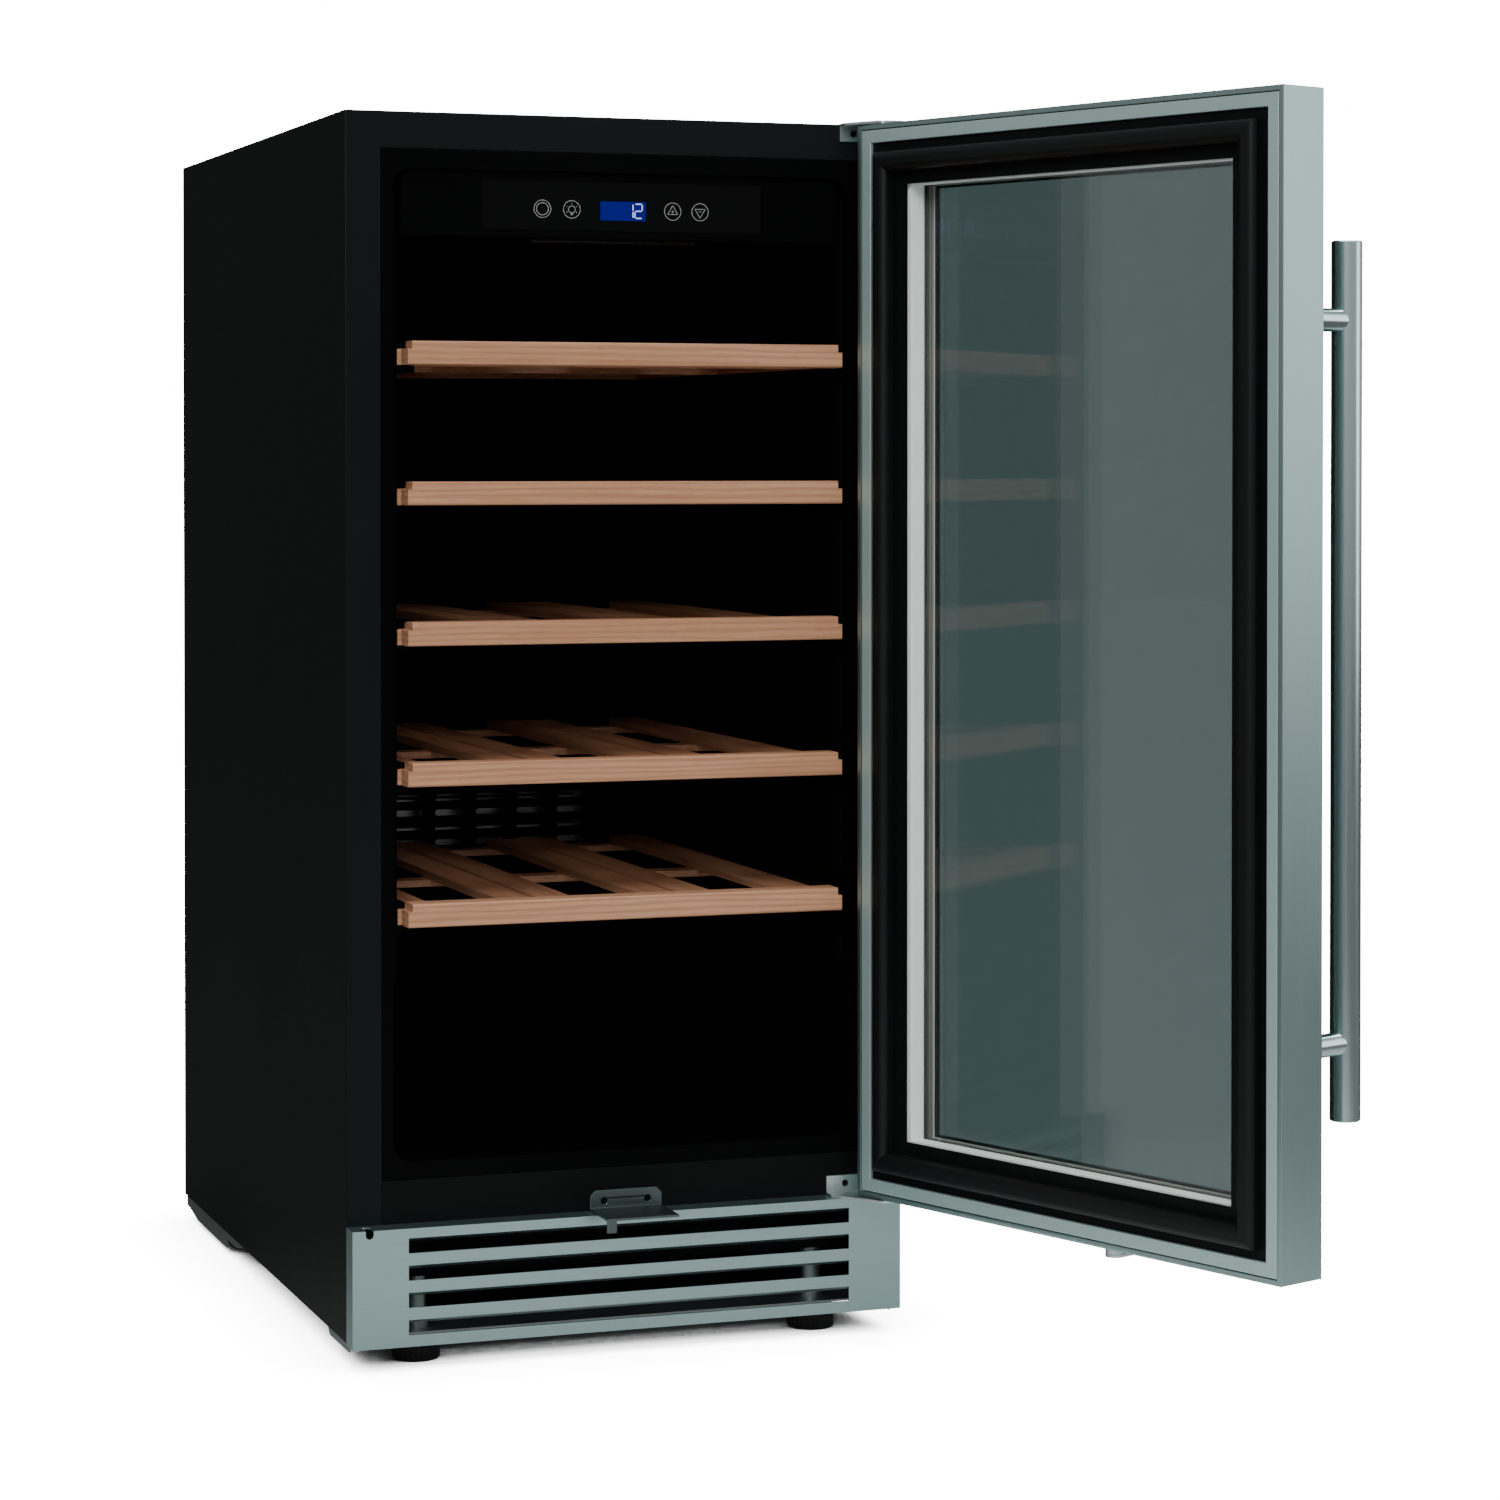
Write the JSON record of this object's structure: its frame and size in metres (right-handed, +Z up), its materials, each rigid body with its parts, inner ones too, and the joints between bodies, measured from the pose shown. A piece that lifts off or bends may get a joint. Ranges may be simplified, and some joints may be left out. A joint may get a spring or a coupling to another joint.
{
  "type": "wine cooler",
  "caption": "Narrow free-standing wine cooler with an opened glass door in a steel frame, bar handle, slatted wooden shelves, touch control strip, slotted toe grille and levelling feet",
  "frame": {"origin": "On the floor, below the middle of the cabinet's width and depth", "axes": "+Z up, +X to the right seen from the front, the front faces -Y"},
  "size_m": [0.5838, 0.9505, 0.8504],
  "materials": {
    "shell_paint": "satin",
    "black_paint": "satin",
    "dark_steel": "satin",
    "zinc": "satin",
    "stainless": "satin",
    "bright_plate": "gloss",
    "aluminium": "satin",
    "copper": "satin",
    "black_plastic": "satin",
    "gloss_black": "gloss",
    "display": "gloss",
    "lamp": "satin",
    "circuit": "satin",
    "foam": "matte",
    "rubber": "matte",
    "gasket": "satin",
    "foot": "satin",
    "beech": "satin",
    "clear_glass": "polished",
    "tinted_glass": "polished",
    "spacer": "satin"
  },
  "bodies": {
    "cabinet": {"outer_shell": "shell_paint", "back_panel": "shell_paint", "front_rail": "black_paint", "bottom_plate": "zinc", "inner_liner": "black_plastic", "foam_insulation": "foam", "base_pan": "zinc", "base_rails": "zinc", "toe_grille": "stainless", "shelf_racks": "black_plastic", "control_panel": "black_plastic", "touch_window": "gloss_black", "display": "display", "control_board": "circuit", "lamp_cover": "lamp", "duct_cover": "black_plastic", "evaporator": "aluminium", "evaporator_fan_frame": "black_plastic", "condenser_fan_frame": "black_plastic", "condenser": "aluminium", "compressor": "black_paint", "drain_tray": "black_plastic", "compressor_mounts": "rubber", "power_board_box": "black_plastic", "refrigerant_pipes": "copper", "machine_cover": "zinc", "mains_inlet": "black_plastic", "hinge_brackets": "bright_plate", "hinge_pins": "bright_plate", "lock_bracket": "dark_steel"},
    "door": {"door_frame": "stainless", "door_inner_frame": "stainless", "door_core": "black_plastic", "door_liner": "black_plastic", "door_gasket": "gasket", "glass_inner_panes": "clear_glass", "glass_outer_pane": "tinted_glass", "glass_spacers": "spacer", "handle_bar": "stainless", "handle_posts": "stainless", "handle_screws": "zinc", "hinge_bushes": "black_plastic", "lock_barrel": "bright_plate"},
    "lock_cam": {"lock_cam": "bright_plate"},
    "evaporator_fan": {"evaporator_fan_rotor": "black_plastic"},
    "condenser_fan": {"condenser_fan_rotor": "black_plastic"},
    "shelf_1": {"shelf_1_front": "beech", "shelf_1_slats": "beech"},
    "shelf_2": {"shelf_2_front": "beech", "shelf_2_slats": "beech"},
    "shelf_3": {"shelf_3_front": "beech", "shelf_3_slats": "beech"},
    "shelf_4": {"shelf_4_front": "beech", "shelf_4_slats": "beech"},
    "shelf_5": {"shelf_5_front": "beech", "shelf_5_slats": "beech"},
    "foot_front_left": {"foot_front_left": "foot"},
    "foot_front_right": {"foot_front_right": "foot"},
    "foot_rear_left": {"foot_rear_left": "foot"},
    "foot_rear_right": {"foot_rear_right": "foot"}
  },
  "joints": [
    {"name": "door_hinge", "type": "hinge", "parent": "cabinet", "child": "door", "pos_m": [0.1848, -0.3049, 0.475], "axis": [0, 0, 1], "range_deg": [-110.88, 9.12]},
    {"name": "lock_turn", "type": "hinge", "parent": "door", "child": "lock_cam", "pos_m": [0.26568, -0.50823, 0.0907], "axis": [0, 0, 1], "range_deg": [0, 90]},
    {"name": "evaporator_fan_spin", "type": "hinge", "parent": "cabinet", "child": "evaporator_fan", "pos_m": [0, 0.204, 0.66], "axis": [0, -1, 0], "continuous": true},
    {"name": "condenser_fan_spin", "type": "hinge", "parent": "cabinet", "child": "condenser_fan", "pos_m": [-0.127, 0.185, 0.128], "axis": [-1, 0, 0], "continuous": true},
    {"name": "shelf_1_slide", "type": "slide", "parent": "cabinet", "child": "shelf_1", "axis": [0, -1, 0], "range_m": [0, 0.2]},
    {"name": "shelf_2_slide", "type": "slide", "parent": "cabinet", "child": "shelf_2", "axis": [0, -1, 0], "range_m": [0, 0.2]},
    {"name": "shelf_3_slide", "type": "slide", "parent": "cabinet", "child": "shelf_3", "axis": [0, -1, 0], "range_m": [0, 0.2]},
    {"name": "shelf_4_slide", "type": "slide", "parent": "cabinet", "child": "shelf_4", "axis": [0, -1, 0], "range_m": [0, 0.2]},
    {"name": "shelf_5_slide", "type": "slide", "parent": "cabinet", "child": "shelf_5", "axis": [0, -1, 0], "range_m": [0, 0.2]},
    {"name": "foot_front_left_extend", "type": "slide", "parent": "cabinet", "child": "foot_front_left", "axis": [0, 0, -1], "range_m": [0, 0.025]},
    {"name": "foot_front_right_extend", "type": "slide", "parent": "cabinet", "child": "foot_front_right", "axis": [0, 0, -1], "range_m": [0, 0.025]},
    {"name": "foot_rear_left_extend", "type": "slide", "parent": "cabinet", "child": "foot_rear_left", "axis": [0, 0, -1], "range_m": [0, 0.025]},
    {"name": "foot_rear_right_extend", "type": "slide", "parent": "cabinet", "child": "foot_rear_right", "axis": [0, 0, -1], "range_m": [0, 0.025]}
  ]
}
